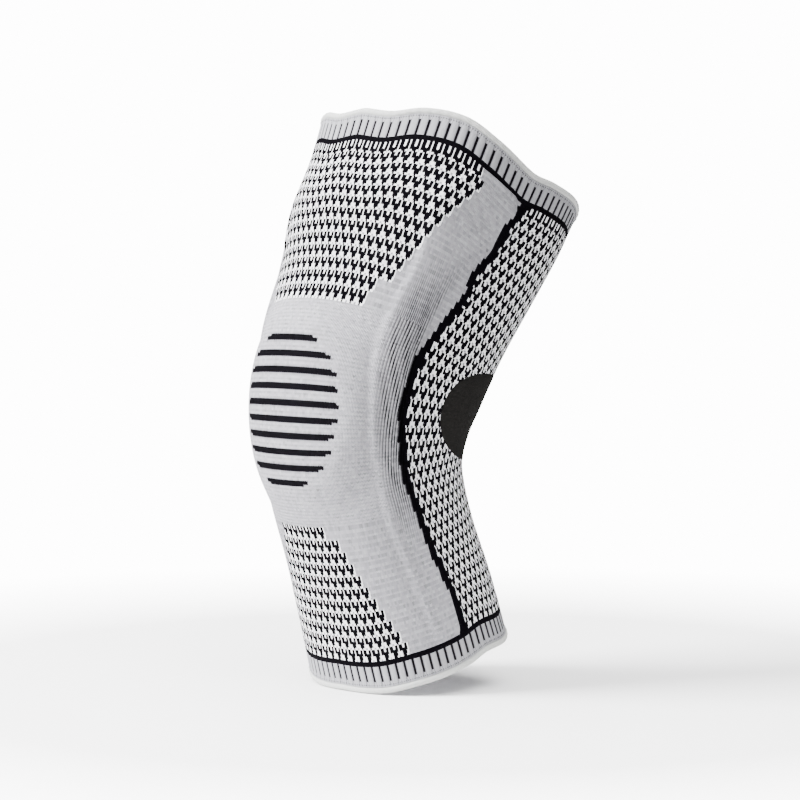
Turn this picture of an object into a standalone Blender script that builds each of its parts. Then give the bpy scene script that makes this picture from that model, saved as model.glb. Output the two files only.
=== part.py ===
# Knitted knee brace, standing open as it does on a slightly bent leg.
# The origin is the middle of the knee hollow, +Z runs up towards the thigh, the kneecap faces -Y.
# A place on the brace is given by its share of the length, from the calf rim (0) to the thigh rim (1),
# and by its turn, the degrees of the girth passed on the way round from the kneecap.

import math

import bmesh
import bpy
import numpy as np

# Whole brace
LENGTH = 0.280
THIGH_HALF_WIDTH = 0.0707
KNEE_HALF_WIDTH = 0.0564
CALF_HALF_WIDTH = 0.0529
THIGH_LEAN = math.radians(29.7)
CALF_LEAN = math.radians(17.7)
BEND_FROM = 0.284
BEND_TO = 0.688
KNEE_CENTRE = 0.47
SQUARENESS = 2.3
WALL = 0.002
SEAM_GAP = 0.0003
STAY_SEAT_GAP = 0.0007

# Cuffs and their rolled hems
CUFF_HEIGHT = 0.018
CUFF_WALL = 0.0022
HEM_HEIGHT = 0.0035
HEM_THICKNESS = 0.0032
THIGH_RIBS = 84
CALF_RIBS = 72
RIB_DEPTH = 0.0006

# Gel ring round the kneecap, and the dome that it makes in the sleeve
RING_CENTRE = 0.482
RING_WIDTH = 0.096
RING_HEIGHT = 0.116
RING_HOLE_WIDTH = 0.050
RING_HOLE_HEIGHT = 0.062
RING_THICKNESS = 0.0075
RING_SEAT_GAP = 0.0011
DOME_RISE = 0.006
DOME_LEVEL = 0.62
DOME_SLOPE = 0.55

# Dark oval panel at the back of the knee. Its half width is a turn, so that it follows the girth, and its
# height is counted along the centreline, which is longer than the back of the bent knee.
PANEL_CENTRE = 0.505
PANEL_HALF_TURN = 87.5
PANEL_HEIGHT = 0.090

# Side stays
STAY_MARGIN = 0.006
STAY_RISE = 0.002
STAY_EASE = 0.0020
STAY_SLOPE = 0.005
SPRING_WIDTH = 0.009
SPRING_THICKNESS = 0.0026
SPRING_PITCH = 0.0047
SPRING_SCALLOP = 0.0006
LOOP_WIDTH = 0.038
LOOP_LENGTH = 0.058
LOOP_THICKNESS = 0.0022
LOOP_HOLE_WIDTH = 0.0255
LOOP_HOLE_HEIGHT = 0.0325
LOOP_HOLE_DROP = 0.0065
CAP_WIDTH = 0.0115
CAP_LENGTH = 0.036
CAP_THICKNESS = 0.0026
CAP_TIP = 0.75

# Mesh fineness
FRONT_COLUMNS = 6
RIDGE_COLUMNS = 4
BACK_COLUMNS = 9
CALF_ROWS = 5
KNEE_ROWS = 12
THIGH_ROWS = 7
KNEE_ROW_MARGIN = 0.006
PANEL_RINGS = 2
HEM_SIDES = 6
RING_STEPS = 32
EYE_ROWS = 10
CAP_ROWS = 8

# Sections up the brace: height as a share of LENGTH, the half width that the row follows, then its own
# half width, front depth and back depth as shares of that half width.
SECTIONS = (
    (0.00, CALF_HALF_WIDTH, 1.00, 0.91, 1.00),
    (0.12, CALF_HALF_WIDTH, 0.95, 0.90, 0.995),
    (0.25, CALF_HALF_WIDTH, 0.925, 0.905, 0.92),
    (0.36, KNEE_HALF_WIDTH, 0.885, 0.865, 0.875),
    (0.44, KNEE_HALF_WIDTH, 0.94, 0.865, 0.975),
    (0.52, KNEE_HALF_WIDTH, 1.00, 0.89, 1.06),
    (0.60, KNEE_HALF_WIDTH, 1.04, 0.965, 1.095),
    (0.70, THIGH_HALF_WIDTH, 0.87, 0.82, 0.89),
    (0.82, THIGH_HALF_WIDTH, 0.94, 0.93, 0.935),
    (0.92, THIGH_HALF_WIDTH, 0.97, 0.935, 0.99),
    (1.00, THIGH_HALF_WIDTH, 1.00, 0.975, 1.00),
)

# Wave of the two ends: turn from the front, then the rise of the thigh end and of the calf end as
# shares of CUFF_HEIGHT. Both sides of the brace are alike.
END_WAVE = (
    (0, -0.11, -0.02),
    (16, -0.19, -0.05),
    (31, 0.06, -0.06),
    (49, 0.17, 0.01),
    (65, -0.03, 0.03),
    (86, -0.25, 0.06),
    (100, -0.05, 0.12),
    (126, 0.25, -0.09),
    (155, 0.12, -0.04),
    (180, 0.0, 0.0),
)
WAVE_REACH = 0.24

# Line of each stay: height as a share of LENGTH, and turn.
STAY_LINE = (
    (0.00, 78.5),
    (0.15, 75.5),
    (0.22, 72.5),
    (0.325, 67.2),
    (0.38, 66.8),
    (0.43, 64.0),
    (0.51, 59.7),
    (0.60, 55.8),
    (0.65, 56.7),
    (0.71, 59.8),
    (0.77, 63.5),
    (0.83, 68.6),
    (1.00, 72.0),
)

# Outline of the stay's loop: distance down as a share of LOOP_LENGTH, half width as a share of LOOP_WIDTH.
LOOP_OUTLINE = ((0.0, 0.27), (0.14, 0.49), (0.24, 0.50), (0.42, 0.49), (0.68, 0.29), (0.84, 0.18), (1.0, 0.15))

# Section of the spring: depth as a share of SPRING_THICKNESS, place across as a share of SPRING_WIDTH.
SPRING_SECTION = ((0.0, -0.35), (0.0, 0.35), (0.5, 0.5), (1.0, 0.35), (1.0, -0.35), (0.5, -0.5))

# Section of the gel ring: place across it from hole (0) to outer edge (1), and depth below the sleeve's
# inner face as a share of RING_THICKNESS.
RING_SECTION = (
    (0.0, 0.30),
    (0.07, 0.06),
    (0.50, 0.0),
    (0.96, 0.01),
    (1.0, 0.13),
    (0.94, 0.25),
    (0.70, 0.70),
    (0.42, 1.0),
    (0.16, 0.86),
    (0.03, 0.58),
)


def ease(t):
    t = np.clip(t, 0.0, 1.0)
    return t * t * (3.0 - 2.0 * t)


def through(table, column, at):
    """Smooth curve through one column of a table whose first column is the place."""
    places = np.array([row[0] for row in table], float)
    values = np.array([row[column] for row in table], float)
    slopes = np.gradient(values)
    slopes[1:-1] = (values[2:] - values[:-2]) / (places[2:] - places[:-2])
    slopes[0] = (values[1] - values[0]) / (places[1] - places[0])
    slopes[-1] = (values[-1] - values[-2]) / (places[-1] - places[-2])
    low = np.clip(np.searchsorted(places, at, side="right") - 1, 0, len(places) - 2)
    span = places[low + 1] - places[low]
    t = (at - places[low]) / span
    return (
        (2 * t**3 - 3 * t**2 + 1) * values[low]
        + (t**3 - 2 * t**2 + t) * span * slopes[low]
        + (3 * t**2 - 2 * t**3) * values[low + 1]
        + (t**3 - t**2) * span * slopes[low + 1]
    )


# Skin of the brace

SIZED_SECTIONS = tuple((share, *(size * part for part in parts)) for share, size, *parts in SECTIONS)
SHARES = np.linspace(-0.1, 1.1, 241)
SHARE_STEP = SHARES[1] - SHARES[0]
SLOPE_STEP = 0.004
DEGREES = np.arange(361.0)


def lean_at(share):
    return -CALF_LEAN + (CALF_LEAN + THIGH_LEAN) * ease((share - BEND_FROM) / (BEND_TO - BEND_FROM))


def run_up(slopes):
    """Distance run along the centreline at each of SHARES, counted from the knee's centre."""
    steps = (slopes[1:] + slopes[:-1]) / 2 * SHARE_STEP * LENGTH
    run = np.concatenate([[0.0], np.cumsum(steps)])
    return run - np.interp(KNEE_CENTRE, SHARES, run)


CENTRE_Y = run_up(np.sin(lean_at(SHARES)))
CENTRE_Z = run_up(np.cos(lean_at(SHARES)))


def run_up_front():
    """Distance run up the front of the brace at each of SHARES, longer than the centreline round the bend."""
    front = through(SIZED_SECTIONS, 2, SHARES)
    y = CENTRE_Y - np.cos(lean_at(SHARES)) * front
    z = CENTRE_Z + np.sin(lean_at(SHARES)) * front
    return np.concatenate([[0.0], np.cumsum(np.hypot(np.diff(y), np.diff(z)))])


FRONT_RUN = run_up_front()


def above_ring(share):
    """Distance up the front from the middle of the gel ring."""
    return np.interp(share, SHARES, FRONT_RUN) - np.interp(RING_CENTRE, SHARES, FRONT_RUN)


def share_above_ring(distance):
    return np.interp(np.interp(RING_CENTRE, SHARES, FRONT_RUN) + distance, FRONT_RUN, SHARES)


def dome(share, angle, width, front):
    """Rise of the skin over the gel ring: level inside it, and gone a little outside it."""
    round_way = np.where(angle > math.pi, angle - 2 * math.pi, angle) * (width + front) / 2
    reach = np.hypot(round_way / (RING_WIDTH / 2), above_ring(share) / (RING_HEIGHT / 2))
    return DOME_RISE * (1 - ease((reach - DOME_LEVEL) / DOME_SLOPE))


def round_point(share, angle, lift=0.0):
    """Point of the section at this share, at an angle about the centreline, lifted off the skin."""
    width, front, back = (through(SIZED_SECTIONS, column, share) for column in (1, 2, 3))
    power = 2 / SQUARENESS
    across = np.sign(np.sin(angle)) * np.abs(np.sin(angle)) ** power
    ahead = np.sign(np.cos(angle)) * np.abs(np.cos(angle)) ** power
    rise = dome(share, angle, width, front) + lift
    forward = np.where(np.cos(angle) > 0, front, back) * ahead + ahead * rise
    lean = lean_at(share)
    y = np.interp(share, SHARES, CENTRE_Y) - np.cos(lean) * forward
    z = np.interp(share, SHARES, CENTRE_Z) + np.sin(lean) * forward
    return np.stack(np.broadcast_arrays(width * across + across * rise, y, z), -1)


def measure_girths():
    """The girth at each of SHARES, and the angle that each whole degree of turn stands at."""
    girths = []
    angles = []
    for share in SHARES:
        loop = round_point(share, np.radians(DEGREES))
        arcs = np.concatenate([[0.0], np.cumsum(np.linalg.norm(np.diff(loop, axis=0), axis=1))])
        girths.append(arcs[-1])
        angles.append(np.interp(DEGREES / 360 * arcs[-1], arcs, np.radians(DEGREES)))
    return np.array(girths), np.array(angles)


GIRTHS, TURN_ANGLES = measure_girths()


def angle_of(share, turn):
    row = (share - SHARES[0]) / SHARE_STEP
    low_row = np.clip(np.floor(row).astype(int), 0, len(SHARES) - 2)
    column = np.mod(turn, 360.0)
    low_column = np.clip(np.floor(column).astype(int), 0, 359)
    up = row - low_row
    on = column - low_column
    near = TURN_ANGLES[low_row, low_column] * (1 - on) + TURN_ANGLES[low_row, low_column + 1] * on
    far = TURN_ANGLES[low_row + 1, low_column] * (1 - on) + TURN_ANGLES[low_row + 1, low_column + 1] * on
    return near * (1 - up) + far * up


def turn_for(share, distance):
    """Turn that a distance round the girth makes."""
    return distance / np.interp(share, SHARES, GIRTHS) * 360.0


def folded(turn):
    """Turn from the front by the shorter way, the same on both sides."""
    turn = np.mod(turn, 360.0)
    return np.minimum(turn, 360.0 - turn)


def waved(share, turn):
    """Share of the length where a knitted course lies, given where it would lie if the ends were level."""
    side = folded(turn)
    thigh = through(END_WAVE, 1, side) * ease((share - (1 - CUFF_HEIGHT / LENGTH)) / WAVE_REACH + 1)
    calf = through(END_WAVE, 2, side) * ease((CUFF_HEIGHT / LENGTH - share) / WAVE_REACH + 1)
    return share + (thigh + calf) * CUFF_HEIGHT / LENGTH


STAY_TOP = 1 - (CUFF_HEIGHT + STAY_MARGIN) / LENGTH
STAY_BOTTOM = (CUFF_HEIGHT + STAY_MARGIN) / LENGTH
LOOP_END = STAY_TOP - LOOP_LENGTH / LENGTH
CAP_END = STAY_BOTTOM + CAP_LENGTH / LENGTH


def loop_half_width(share):
    down = (STAY_TOP - share) * LENGTH / LOOP_LENGTH
    places, widths = zip(*LOOP_OUTLINE)
    return np.interp(down, places, widths) * LOOP_WIDTH


def ridge_half_width(share):
    """Half width of the level top of the ridge, a little over that of the piece of the stay under it."""
    blend = ease((LOOP_END - share) / (STAY_SLOPE / LENGTH))
    below = np.where(share < CAP_END, CAP_WIDTH, SPRING_WIDTH) / 2
    return loop_half_width(share) * (1 - blend) + below * blend + STAY_EASE


def ridge(share, turn):
    """Rise of the skin over a stay."""
    girth = np.interp(share, SHARES, GIRTHS)
    off = np.abs(folded(turn) - through(STAY_LINE, 1, share)) / 360.0 * girth
    over = 1 - ease((off - ridge_half_width(share)) / STAY_SLOPE)
    fade = STAY_MARGIN / LENGTH
    ends = ease((share - STAY_BOTTOM) / fade + 1) * ease((STAY_TOP - share) / fade + 1)
    return STAY_RISE * over * ends


def skin(share, turn, depth=0.0):
    """Points below the outer face of the knit by depth, square to it."""
    share, turn, depth = np.broadcast_arrays(
        np.asarray(share, float), np.asarray(turn, float), np.asarray(depth, float)
    )

    def outer(share_off, turn_off):
        at = share + share_off
        round_at = turn + turn_off
        return round_point(at, angle_of(at, round_at), ridge(at, round_at))

    up = outer(SLOPE_STEP, 0.0) - outer(-SLOPE_STEP, 0.0)
    round_way = outer(0.0, 1.0) - outer(0.0, -1.0)
    normal = np.cross(round_way, up)
    normal /= np.linalg.norm(normal, axis=-1, keepdims=True)
    return outer(0.0, 0.0) - depth[..., None] * normal


# Mesh helpers


def material(name, colour, roughness, metallic=0.0, alpha=1.0):
    made = bpy.data.materials.new(name)
    made.use_nodes = True
    shader = made.node_tree.nodes["Principled BSDF"]
    shader.inputs["Base Color"].default_value = (*colour, 1.0)
    shader.inputs["Roughness"].default_value = roughness
    shader.inputs["Metallic"].default_value = metallic
    shader.inputs["Alpha"].default_value = alpha
    made.diffuse_color = (*colour, alpha)
    return made


def add_object(name, points, faces, finish=None):
    mesh = bpy.data.meshes.new(name)
    mesh.from_pydata([tuple(point) for point in np.asarray(points).reshape(-1, 3)], [], faces)
    mesh.shade_smooth()
    if finish:
        mesh.materials.append(finish)
    obj = bpy.data.objects.new(name, mesh)
    bpy.context.scene.collection.objects.link(obj)
    return obj


def grid_faces(rows, columns, closed):
    """Quads of a grid whose rows go up and whose columns go round. They split alike on both sides."""
    last = columns if closed else columns - 1
    faces = []
    for row in range(rows - 1):
        for column in range(last):
            after = (column + 1) % columns
            low = row * columns
            high = low + columns
            face = (low + column, low + after, high + after, high + column)
            faces.append(face[1:] + face[:1] if column < last / 2 else face)
    return faces


def lay_wall(name, share, turn, faces, outer, inner, finish):
    """Wall between two depths below the skin, over the places and faces of an open sheet."""
    count = np.size(share)
    points = np.concatenate([skin(share, turn, outer), skin(share, turn, inner)])
    edges = {(a, b) for face in faces for a, b in zip(face, face[1:] + face[:1])}
    under = [tuple(count + corner for corner in reversed(face)) for face in faces]
    rim = [(b, a, count + a, count + b) for a, b in sorted(edges) if (b, a) not in edges]
    return add_object(name, points, faces + under + rim, finish)


def face_out(obj):
    shell = bmesh.new()
    shell.from_mesh(obj.data)
    bmesh.ops.recalc_face_normals(shell, faces=shell.faces)
    shell.to_mesh(obj.data)
    shell.free()
    return obj


# Knitted pieces


def sleeve_rows():
    """Shares of the sleeve's rows, closest over the knee, and the first and last row of the panel's block."""
    low = CUFF_HEIGHT / LENGTH + SEAM_GAP / 2 / LENGTH
    reach = (PANEL_HEIGHT / 2 + KNEE_ROW_MARGIN) / LENGTH
    calf = np.linspace(STAY_BOTTOM, PANEL_CENTRE - reach, CALF_ROWS)
    knee = np.linspace(PANEL_CENTRE - reach, PANEL_CENTRE + reach, KNEE_ROWS + 1)[1:]
    thigh = np.linspace(PANEL_CENTRE + reach, STAY_TOP, THIGH_ROWS)[1:]
    rows = np.concatenate([[low], calf, knee, thigh, [1 - low]])
    return rows, CALF_ROWS, CALF_ROWS + KNEE_ROWS


def sleeve_turns(share):
    """Columns of the sleeve at a share: they run along the edges of the ridges over the stays."""
    centre = through(STAY_LINE, 1, share)
    foot = turn_for(share, ridge_half_width(share) + STAY_SLOPE)
    shoulder = turn_for(share, ridge_half_width(share))
    front = np.linspace(0.0, centre - foot, FRONT_COLUMNS + 1)
    ridge_top = np.linspace(centre - shoulder, centre + shoulder, RIDGE_COLUMNS + 1)
    back = np.linspace(centre + foot, 180.0, BACK_COLUMNS + 1)
    side = np.concatenate([front, ridge_top, back])
    return np.concatenate([side, 360.0 - side[-2:0:-1]])


def seam_share(share, turn):
    """Share where the sleeve's edge lies at a turn. Its edge runs straight from column to column."""
    columns = np.append(sleeve_turns(share), 360.0)
    return np.interp(turn, columns, waved(share, columns))


def oval_place(along, up, spread):
    """Share and turn of a point of the panel's oval. along and up run from -1 to 1 over a square."""
    half_turn = PANEL_HALF_TURN + turn_for(PANEL_CENTRE, spread)
    half_height = (PANEL_HEIGHT / 2 + spread) / LENGTH
    turn = 180.0 + half_turn * along * math.sqrt(1 - up * up / 2)
    return PANEL_CENTRE + half_height * up * math.sqrt(1 - along * along / 2), turn


def make_sleeve(finish):
    """Tube on a grid, with the block of the grid behind the knee drawn in to the edge of the oval opening."""
    rows, first, last = sleeve_rows()
    places = [(share, turn) for share in rows for turn in sleeve_turns(share)]
    columns = len(places) // len(rows)
    left = columns // 2 - BACK_COLUMNS
    right = columns // 2 + BACK_COLUMNS
    faces = []
    for number, face in enumerate(grid_faces(len(rows), columns, True)):
        row, column = divmod(number, columns)
        if not (first <= row < last and left <= column < right):
            faces.append(face)

    block = [(first, column) for column in range(left, right)]
    block += [(row, right) for row in range(first, last)]
    block += [(last, column) for column in range(right, left, -1)]
    block += [(row, left) for row in range(last, first, -1)]
    edge = [row * columns + column for row, column in block]
    outer = np.array([places[corner] for corner in edge])
    oval = []
    for row, column in block:
        along = (column - left) / BACK_COLUMNS - 1
        up = 2 * (row - first) / KNEE_ROWS - 1
        oval.append(oval_place(along, up, SEAM_GAP))
    for ring in range(1, PANEL_RINGS + 1):
        part = ring / PANEL_RINGS
        inner_edge = list(range(len(places), len(places) + len(edge)))
        places.extend(map(tuple, outer * (1 - part) + np.array(oval) * part))
        for number in range(len(edge)):
            after = (number + 1) % len(edge)
            faces.append((edge[number], edge[after], inner_edge[after], inner_edge[number]))
        edge = inner_edge

    used = sorted({corner for face in faces for corner in face})
    renumbered = {corner: number for number, corner in enumerate(used)}
    faces = [tuple(renumbered[corner] for corner in face) for face in faces]
    share, turn = np.array([places[corner] for corner in used]).T
    lay_wall("sleeve", waved(share, turn), turn, faces, 0.0, WALL, finish)


def make_panel(finish):
    places = []
    for row in range(KNEE_ROWS + 1):
        for column in range(2 * BACK_COLUMNS + 1):
            places.append(oval_place(column / BACK_COLUMNS - 1, 2 * row / KNEE_ROWS - 1, 0.0))
    share, turn = np.array(places).T
    faces = grid_faces(KNEE_ROWS + 1, 2 * BACK_COLUMNS + 1, False)
    lay_wall("popliteal_panel", waved(share, turn), turn, faces, 0.0, WALL, finish)


def make_cuff(name, ribs, seam, hem, finish):
    """Ribbed band from the sleeve's seam to the hem. Each rib is a ridge and a valley."""
    columns = 2 * ribs
    turn = np.arange(columns) * 360.0 / columns
    edges = [seam_share(seam, turn), waved(hem, turn)]
    if hem < seam:
        edges.reverse()
    relief = np.where(np.arange(2 * columns) % 2 == 0, 0.0, RIB_DEPTH)
    faces = grid_faces(2, columns, True)
    lay_wall(name, np.concatenate(edges), np.tile(turn, 2), faces, relief, CUFF_WALL, finish)


def make_hem(name, ribs, middle, finish):
    """Rolled edge: a rounded rod bent round the girth."""
    turns = np.arange(ribs) * 360.0 / ribs
    points = []
    for side in range(HEM_SIDES):
        way = 2 * math.pi * side / HEM_SIDES
        up = HEM_HEIGHT / 2 * math.sin(way) / math.cos(math.pi / HEM_SIDES)
        depth = WALL / 2 - HEM_THICKNESS / 2 * math.cos(way)
        points.append(skin(waved(middle, turns) + up / LENGTH, turns, depth))
    obj = add_object(name, points + points[:1], grid_faces(HEM_SIDES + 1, ribs, True), finish)
    join_first_and_last(obj, ribs)
    face_out(obj)


def join_first_and_last(obj, columns):
    """Closes a grid whose last row repeats its first."""
    shell = bmesh.new()
    shell.from_mesh(obj.data)
    shell.verts.ensure_lookup_table()
    extra = len(shell.verts) - columns
    pairs = {shell.verts[extra + column]: shell.verts[column] for column in range(columns)}
    bmesh.ops.weld_verts(shell, targetmap=pairs)
    shell.to_mesh(obj.data)
    shell.free()


# Gel ring and stays


def make_ring(finish):
    ways = 2 * math.pi * np.arange(RING_STEPS) / RING_STEPS
    points = []
    for across, deep in RING_SECTION + RING_SECTION[:1]:
        half_width = (RING_HOLE_WIDTH + (RING_WIDTH - RING_HOLE_WIDTH) * across) / 2
        half_height = (RING_HOLE_HEIGHT + (RING_HEIGHT - RING_HOLE_HEIGHT) * across) / 2
        share = share_above_ring(half_height * np.sin(ways))
        turn = turn_for(RING_CENTRE, half_width * np.cos(ways))
        points.append(skin(share, turn, WALL + RING_SEAT_GAP + deep * RING_THICKNESS))
    obj = add_object("patella_ring", points, grid_faces(len(points), RING_STEPS, True), finish)
    join_first_and_last(obj, RING_STEPS)
    face_out(obj)


def stay_place(side, share, across):
    """Turn of a point of a stay that lies this far behind its middle."""
    return side * (through(STAY_LINE, 1, share) + turn_for(share, across))


def stay_plate(name, side, shares, half_widths, holes, thickness, finish):
    """Flat plate laid under the sleeve's inner face. Where a hole's half width is over 0 it is cut open."""
    places = []
    rows = []
    for share, half_width, hole in zip(shares, half_widths, holes):
        across = [-half_width, -hole, hole, half_width] if hole > 0 else [-half_width, 0.0, half_width]
        row = list(range(len(places), len(places) + len(across)))
        places.extend((share, stay_place(side, share, off)) for off in across)
        rows.append((row[:2], row[-2:]))
    faces = []
    for below, above in zip(rows, rows[1:]):
        for low, high in zip(below, above):
            face = (low[0], low[1], high[1], high[0])
            faces.append(face if side > 0 else face[::-1])
    share, turn = np.array(places).T
    outer = WALL + STAY_SEAT_GAP
    lay_wall(name, share, turn, faces, outer, outer + thickness, finish)


def make_loop(name, side, finish):
    """Plate with an oval eye, drawn in to a neck over the spring."""
    eye_top = STAY_TOP - LOOP_HOLE_DROP / LENGTH
    eye_bottom = eye_top - LOOP_HOLE_HEIGHT / LENGTH
    rise = -np.cos(np.linspace(0.0, math.pi, EYE_ROWS + 1))
    eye = (eye_bottom + eye_top) / 2 + rise * (eye_top - eye_bottom) / 2
    neck = np.linspace(LOOP_END, eye_bottom, 4)[:-1]
    crown = np.linspace(eye_top, STAY_TOP, 3)[1:]
    shares = np.concatenate([neck, eye, crown])
    holes = np.zeros(len(shares))
    holes[len(neck) + 1 : len(neck) + EYE_ROWS] = np.sqrt(1 - rise[1:-1] ** 2) * LOOP_HOLE_WIDTH / 2
    stay_plate(name, side, shares, loop_half_width(shares), holes, LOOP_THICKNESS, finish)


def make_cap(name, side, finish):
    shares = np.linspace(STAY_BOTTOM, CAP_END, CAP_ROWS)
    half_widths = np.where(shares == shares[0], CAP_TIP, 1.0) * CAP_WIDTH / 2
    stay_plate(name, side, shares, half_widths, np.zeros(CAP_ROWS), CAP_THICKNESS, finish)


def make_spring(name, side, finish):
    """Flat spiral spring as one bar whose edges swell at each turn of the wire."""
    low = CAP_END + SEAM_GAP / LENGTH
    high = LOOP_END - SEAM_GAP / LENGTH
    turns = round((high - low) * LENGTH / SPRING_PITCH)
    stations = np.linspace(low, high, 2 * turns + 1)
    points = []
    for number, share in enumerate(stations):
        width = SPRING_WIDTH - (SPRING_SCALLOP * 2 if number % 2 else 0.0)
        for deep, across in SPRING_SECTION:
            place = stay_place(side, share, across * width)
            points.append(skin(share, place, WALL + STAY_SEAT_GAP + deep * SPRING_THICKNESS))
    sides = len(SPRING_SECTION)
    faces = grid_faces(len(stations), sides, True)
    faces.append(tuple(range(sides)))
    faces.append(tuple(range(len(points) - sides, len(points))))
    face_out(add_object(name, points, faces, finish))


def main():
    for obj in list(bpy.data.objects):
        bpy.data.objects.remove(obj, do_unlink=True)

    knit = material("grey_white_knit", (0.62, 0.62, 0.66), 0.9)
    cuff_knit = material("pale_rib_knit", (0.72, 0.72, 0.75), 0.9)
    hem_knit = material("pale_hem_knit", (0.77, 0.77, 0.78), 0.9)
    panel_knit = material("charcoal_fine_knit", (0.03, 0.028, 0.028), 0.9)
    gel = material("clear_silicone_gel", (0.9, 0.9, 0.94), 0.25, alpha=0.6)
    steel = material("bright_spring_steel", (0.62, 0.63, 0.65), 0.3, metallic=1.0)
    plastic = material("natural_polypropylene", (0.72, 0.7, 0.73), 0.45)

    make_sleeve(knit)
    make_panel(panel_knit)
    cuff = CUFF_HEIGHT / LENGTH
    hem = HEM_HEIGHT / LENGTH
    gap = SEAM_GAP / LENGTH
    make_cuff("thigh_cuff", THIGH_RIBS, 1 - cuff + gap / 2, 1 - hem - gap, cuff_knit)
    make_cuff("calf_cuff", CALF_RIBS, cuff - gap / 2, hem + gap, cuff_knit)
    make_hem("thigh_hem", THIGH_RIBS, 1 - hem / 2, hem_knit)
    make_hem("calf_hem", CALF_RIBS, hem / 2, hem_knit)
    make_ring(gel)
    for prefix, side in (("right", -1), ("left", 1)):
        make_spring(f"{prefix}_stay_spring", side, steel)
        make_loop(f"{prefix}_stay_loop", side, plastic)
        make_cap(f"{prefix}_stay_cap", side, plastic)


main()
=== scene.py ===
import math

import bmesh
import bpy
import numpy as np
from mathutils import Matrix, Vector


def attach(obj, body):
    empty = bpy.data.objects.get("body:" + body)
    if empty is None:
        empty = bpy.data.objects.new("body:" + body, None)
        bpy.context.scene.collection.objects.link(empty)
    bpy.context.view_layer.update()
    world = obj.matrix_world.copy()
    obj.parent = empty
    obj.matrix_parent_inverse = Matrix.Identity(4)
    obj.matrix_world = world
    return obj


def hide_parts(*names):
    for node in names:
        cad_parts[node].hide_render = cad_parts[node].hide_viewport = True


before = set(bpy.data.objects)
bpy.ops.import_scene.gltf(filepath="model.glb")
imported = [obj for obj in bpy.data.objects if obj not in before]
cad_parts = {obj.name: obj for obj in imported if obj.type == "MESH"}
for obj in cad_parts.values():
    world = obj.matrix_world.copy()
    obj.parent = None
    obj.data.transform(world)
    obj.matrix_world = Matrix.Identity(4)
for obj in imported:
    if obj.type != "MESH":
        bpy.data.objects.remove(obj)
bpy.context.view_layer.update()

scene = bpy.context.scene
print("CAD frame loaded")

# Shape of the brace, as the CAD has it. Share runs from the calf rim (0) to the thigh rim (1),
# turn is the degrees of the girth passed from the kneecap, and depth is counted from the outer face.
brace = {
    "length": 0.280,
    "halfWidths": {"thigh": 0.0707, "knee": 0.0564, "calf": 0.0529},
    "thighLean": math.radians(29.7),
    "calfLean": math.radians(17.7),
    "bend": (0.284, 0.688),
    "kneeCentre": 0.47,
    "squareness": 2.3,
    "wall": 0.002,
    "cuffHeight": 0.018,
    "hemHeight": 0.0035,
    "waveReach": 0.24,
}
length = brace["length"]
cuffShare = brace["cuffHeight"] / length

# Share, part of the leg whose half width the row follows, then half width, front and back depth
sections = (
    (0.00, "calf", 1.00, 0.91, 1.00),
    (0.12, "calf", 0.95, 0.90, 0.995),
    (0.25, "calf", 0.925, 0.905, 0.92),
    (0.36, "knee", 0.885, 0.865, 0.875),
    (0.44, "knee", 0.94, 0.865, 0.975),
    (0.52, "knee", 1.00, 0.89, 1.06),
    (0.60, "knee", 1.04, 0.965, 1.095),
    (0.70, "thigh", 0.87, 0.82, 0.89),
    (0.82, "thigh", 0.94, 0.93, 0.935),
    (0.92, "thigh", 0.97, 0.935, 0.99),
    (1.00, "thigh", 1.00, 0.975, 1.00),
)
sized = [(row[0], *(brace["halfWidths"][row[1]] * part for part in row[2:])) for row in sections]

# Turn, then how far the thigh end and the calf end rise there, as shares of the cuff height
endWave = (
    (0, -0.11, -0.02),
    (16, -0.19, -0.05),
    (31, 0.06, -0.06),
    (49, 0.17, 0.01),
    (65, -0.03, 0.03),
    (86, -0.25, 0.06),
    (100, -0.05, 0.12),
    (126, 0.25, -0.09),
    (155, 0.12, -0.04),
    (180, 0.0, 0.0),
)

# Share and turn of the stay on each side
stayLine = (
    (0.00, 78.5),
    (0.15, 75.5),
    (0.22, 72.5),
    (0.325, 67.2),
    (0.38, 66.8),
    (0.43, 64.0),
    (0.51, 59.7),
    (0.60, 55.8),
    (0.65, 56.7),
    (0.71, 59.8),
    (0.77, 63.5),
    (0.83, 68.6),
    (1.00, 72.0),
)

ring = {
    "centre": 0.482,
    "size": (0.096, 0.116),
    "hole": (0.050, 0.062),
    "thickness": 0.0075,
    "seatGap": 0.0011,
    "domeRise": 0.006,  # of the knit over it
    "domeLevel": 0.62,
    "domeSlope": 0.55,
    "steps": 120,
    "sectionSteps": 40,
    "gel": "#f0eff4",
    "roughness": (0.18, 0.34),
}

stay = {
    "margin": 0.006,  # from the cuffs' black lines to the ends of the stay
    "rise": 0.002,
    "ease": 0.002,
    "slope": 0.005,
    "seatGap": 0.0007,
    "springWidth": 0.009,
    "springThickness": 0.0026,
    "springPitch": 0.0047,
    "springGap": 0.001,  # to the loop and the cap
    "wire": 0.00095,
    "wireSides": 6,
    "stepsPerCoil": 22,
    "loopWidth": 0.038,
    "loopLength": 0.058,
    "loopThickness": 0.0022,
    "loopHole": (0.0255, 0.0325),
    "loopHoleDrop": 0.0065,
    "loopSeam": 0.0002,  # between the plates that make up the loop
    "loopBevel": 0.0008,
    "eyeSink": 0.0005,
    "capWidth": 0.0115,
    "capLength": 0.036,
    "capThickness": 0.0026,
    "capBevel": 0.0009,
    "capTaper": 0.32,
    "capRound": 0.0035,
    "loopRivetDrop": 0.0105,  # below the eye
    "capRivetDrop": 0.011,  # below the upper end of the cap
    "steel": "#b9bbbf",
    "plastic": "#dcdadc",
    "capPlastic": "#cfccd2",
    "rivet": "#55565a",
}

# Distance down the loop as a share of its length, half width as a share of its width
loopOutline = ((0.0, 0.27), (0.14, 0.49), (0.24, 0.50), (0.42, 0.49), (0.68, 0.29), (0.84, 0.18), (1.0, 0.15))

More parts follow.
